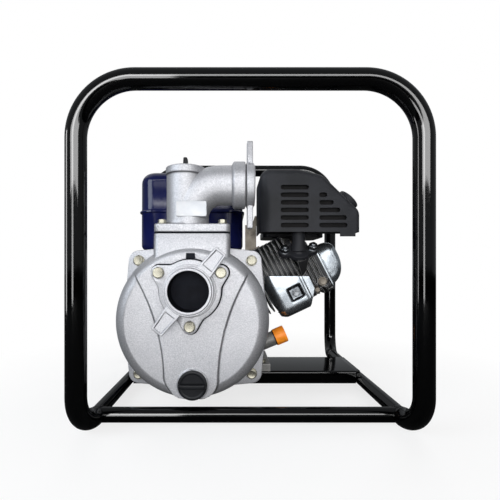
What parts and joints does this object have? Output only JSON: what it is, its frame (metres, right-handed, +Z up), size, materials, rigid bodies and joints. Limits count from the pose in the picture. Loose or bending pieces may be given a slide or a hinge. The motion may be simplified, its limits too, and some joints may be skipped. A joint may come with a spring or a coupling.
{
  "type": "portable fire pump",
  "caption": "Petrol-engined self-priming water pump in a tubular carrying cage, with a front suction port and a side discharge elbow.",
  "frame": {"origin": "on the floor under the middle of the cage", "axes": "+Z up, pump front and suction port towards -Y, discharge port towards +X"},
  "size_m": [0.4414, 0.4654, 0.4447],
  "materials": {
    "frame_paint": "gloss black paint on steel tube",
    "cast_silver": "sand-cast aluminium with silver paint",
    "bracket_silver": "pale painted aluminium casting",
    "zinc_bolts": "yellowish zinc plate",
    "rubber_black": "black rubber",
    "plastic_black": "black moulded plastic",
    "plastic_orange": "orange moulded plastic",
    "plastic_red": "red moulded plastic",
    "tank_navy": "gloss navy paint on sheet steel",
    "muffler_black": "matt heat-proof black paint on sheet steel",
    "engine_alloy": "die-cast aluminium",
    "zinc_sheet": "bright zinc-plated sheet",
    "steel": "machined steel",
    "iron": "cast iron",
    "ceramic": "white insulator and plated hexagon"
  },
  "bodies": {
    "cage_and_engine": {"front_hoop": "frame_paint", "rear_hoop": "frame_paint", "left_runner": "frame_paint", "right_runner": "frame_paint", "front_cross_tube": "frame_paint", "rear_cross_tube": "frame_paint", "engine_base_plate": "frame_paint", "pump_casing": "cast_silver", "suction_flange": "cast_silver", "discharge_elbow": "cast_silver", "pump_back_plate": "bracket_silver", "suction_flange_bolts": "zinc_bolts", "elbow_bolts": "zinc_bolts", "casing_bolts": "zinc_bolts", "adapter_bolts": "zinc_bolts", "engine_mount_bolts": "zinc_bolts", "cover_bolts": "zinc_bolts", "head_bolts": "zinc_bolts", "shield_bolt": "zinc_bolts", "oil_drain_bolt": "zinc_bolts", "exhaust_nuts": "zinc_bolts", "check_valve_gasket": "rubber_black", "outlet_gasket": "rubber_black", "spark_plug_cap": "rubber_black", "air_cleaner_base": "plastic_black", "air_cleaner_cover": "plastic_black", "fuel_tank": "tank_navy", "fan_shroud": "tank_navy", "recoil_cover": "tank_navy", "muffler": "muffler_black", "muffler_guard": "muffler_black", "exhaust_pipe": "muffler_black", "exhaust_outlet": "muffler_black", "crankcase": "engine_alloy", "crankcase_cover": "engine_alloy", "cylinder_head": "engine_alloy", "carburettor": "engine_alloy", "valve_cover": "zinc_sheet", "heat_shield": "zinc_sheet", "control_bracket": "zinc_sheet", "main_bearings": "steel", "mechanical_seal": "steel", "volute": "iron", "spark_plug": "ceramic"},
    "rotor": {"crankshaft": "steel", "impeller": "iron", "flywheel": "iron"},
    "suction_ring": {"suction_coupling_ring": "cast_silver"},
    "discharge_ring": {"discharge_coupling_ring": "cast_silver"},
    "priming_screw": {"priming_plug": "plastic_black"},
    "drain_screw": {"drain_plug": "plastic_black"},
    "tank_cap": {"fuel_cap": "plastic_black"},
    "oil_cap": {"oil_filler_cap": "plastic_orange"},
    "cleaner_nut": {"wing_nut": "plastic_black"},
    "flap": {"check_valve_flap": "rubber_black"},
    "throttle": {"throttle_lever": "zinc_sheet"},
    "choke": {"choke_lever": "plastic_black"},
    "fuel_tap": {"fuel_valve_lever": "plastic_black"},
    "grip": {"starter_grip": "plastic_black"},
    "switch": {"engine_switch": "plastic_red"}
  },
  "joints": [
    {"name": "shaft_spin", "type": "hinge", "parent": "cage_and_engine", "child": "rotor", "pos_m": [-0.0755, 0, 0.1344], "axis": [0, 1, 0], "continuous": true},
    {"name": "suction_ring_turn", "type": "hinge", "parent": "cage_and_engine", "child": "suction_ring", "pos_m": [-0.0755, -0.2015, 0.1774], "axis": [0, -1, 0], "continuous": true},
    {"name": "discharge_ring_turn", "type": "hinge", "parent": "cage_and_engine", "child": "discharge_ring", "pos_m": [0.0035, -0.137, 0.3225], "axis": [1, 0, 0], "continuous": true},
    {"name": "priming_plug_unscrew", "type": "hinge", "parent": "cage_and_engine", "child": "priming_screw", "pos_m": [-0.087, -0.137, 0.342], "axis": [0, 0, 1], "range_deg": [0, 360]},
    {"name": "drain_plug_unscrew", "type": "hinge", "parent": "cage_and_engine", "child": "drain_screw", "pos_m": [-0.073, -0.178, 0.0539], "axis": [0, -1, 0], "range_deg": [0, 360]},
    {"name": "fuel_cap_unscrew", "type": "hinge", "parent": "cage_and_engine", "child": "tank_cap", "pos_m": [-0.0955, 0.091, 0.381], "axis": [0, 0, 1], "range_deg": [0, 360]},
    {"name": "oil_cap_unscrew", "type": "hinge", "parent": "cage_and_engine", "child": "oil_cap", "pos_m": [0.057, -0.042, 0.0934], "axis": [0.9205, 0, 0.3907], "range_deg": [0, 360]},
    {"name": "wing_nut_unscrew", "type": "hinge", "parent": "cage_and_engine", "child": "cleaner_nut", "pos_m": [0.092, 0.074, 0.361], "axis": [0, 0, 1], "range_deg": [0, 360]},
    {"name": "check_valve_swing", "type": "hinge", "parent": "cage_and_engine", "child": "flap", "pos_m": [-0.0755, -0.176, 0.2054], "axis": [1, 0, 0], "range_deg": [0, 30]},
    {"name": "throttle_turn", "type": "hinge", "parent": "cage_and_engine", "child": "throttle", "pos_m": [0.014, 0.0122, 0.27], "axis": [0, 1, 0], "range_deg": [-30, 15]},
    {"name": "choke_turn", "type": "hinge", "parent": "cage_and_engine", "child": "choke", "pos_m": [0.0982, 0.074, 0.24], "axis": [1, 0, 0], "range_deg": [0, 45]},
    {"name": "fuel_tap_turn", "type": "hinge", "parent": "cage_and_engine", "child": "fuel_tap", "pos_m": [0.0982, 0.074, 0.216], "axis": [1, 0, 0], "range_deg": [0, 45]},
    {"name": "starter_pull", "type": "slide", "parent": "cage_and_engine", "child": "grip", "axis": [1, 0, 0], "range_m": [0, 0.2]},
    {"name": "switch_turn", "type": "hinge", "parent": "cage_and_engine", "child": "switch", "pos_m": [0.0295, 0.1382, 0.1594], "axis": [0, 1, 0], "range_deg": [0, 90]}
  ]
}
